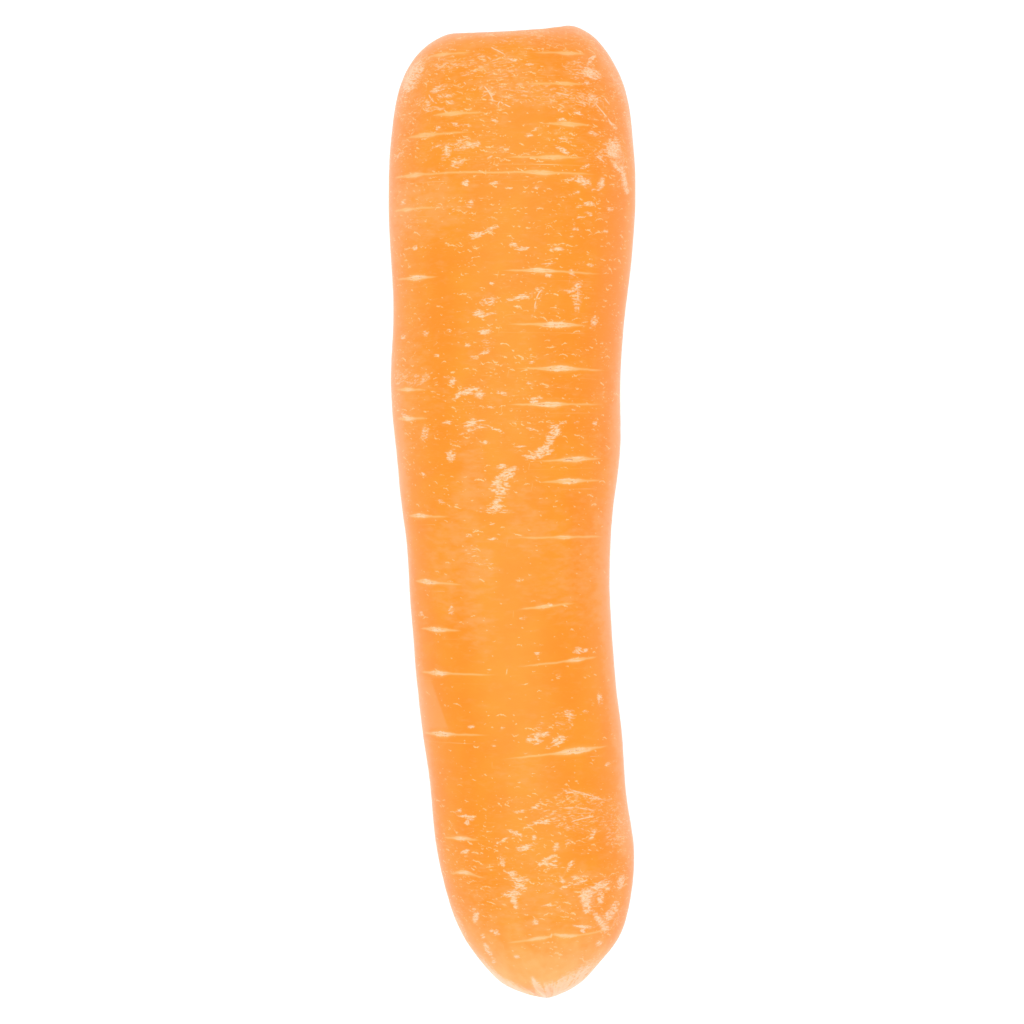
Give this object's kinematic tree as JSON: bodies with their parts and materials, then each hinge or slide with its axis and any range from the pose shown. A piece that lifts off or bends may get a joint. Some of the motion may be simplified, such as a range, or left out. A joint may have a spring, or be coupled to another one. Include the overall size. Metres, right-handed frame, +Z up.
{
  "type": "carrot",
  "caption": "Blunt-tipped carrot root without leaves, lying on its side: a long, slightly bent, rounded body with a dished crown.",
  "frame": {"origin": "middle of the root's length and width, on the surface that it lies on", "axes": "+Y along the root from the tip to the crown, +Z up from the surface that it lies on, +X across the root"},
  "size_m": [0.0404, 0.1598, 0.0375],
  "materials": {
    "carrot_skin": "washed and dry, satin, with pale root scars and dry scuffs"
  },
  "bodies": {
    "root": {"carrot_root": "carrot_skin"}
  },
  "joints": []
}
